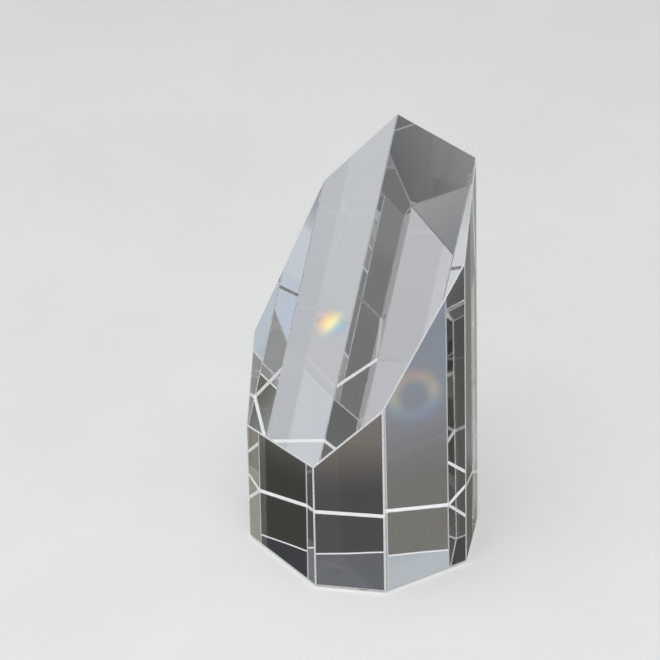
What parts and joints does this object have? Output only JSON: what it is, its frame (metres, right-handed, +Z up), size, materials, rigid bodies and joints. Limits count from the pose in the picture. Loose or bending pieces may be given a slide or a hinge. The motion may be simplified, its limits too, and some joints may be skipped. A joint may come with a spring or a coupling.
{
  "type": "crystal award",
  "caption": "Solid clear crystal award: an upright faceted prism with one slanted top facet rising to the back, on thin clear protective dots",
  "frame": {"origin": "on the surface the award stands on, under the middle of its eight-sided plan", "axes": "+Z up along the upright facets, +Y towards the tall back facet, -Y towards the short front facet, +X to the right seen from the front, the side on which the slanted facet is slightly higher"},
  "size_m": [0.094, 0.0812, 0.1755],
  "materials": {
    "crystal": "clear optical crystal, facets polished, narrow arrises and underside chamfer fine-ground",
    "dots": "clear soft polyurethane, satin"
  },
  "bodies": {
    "root": {"crystal_body": "crystal", "dot_front_left": "dots", "dot_front_right": "dots", "dot_rear_left": "dots", "dot_rear_right": "dots"}
  },
  "joints": []
}
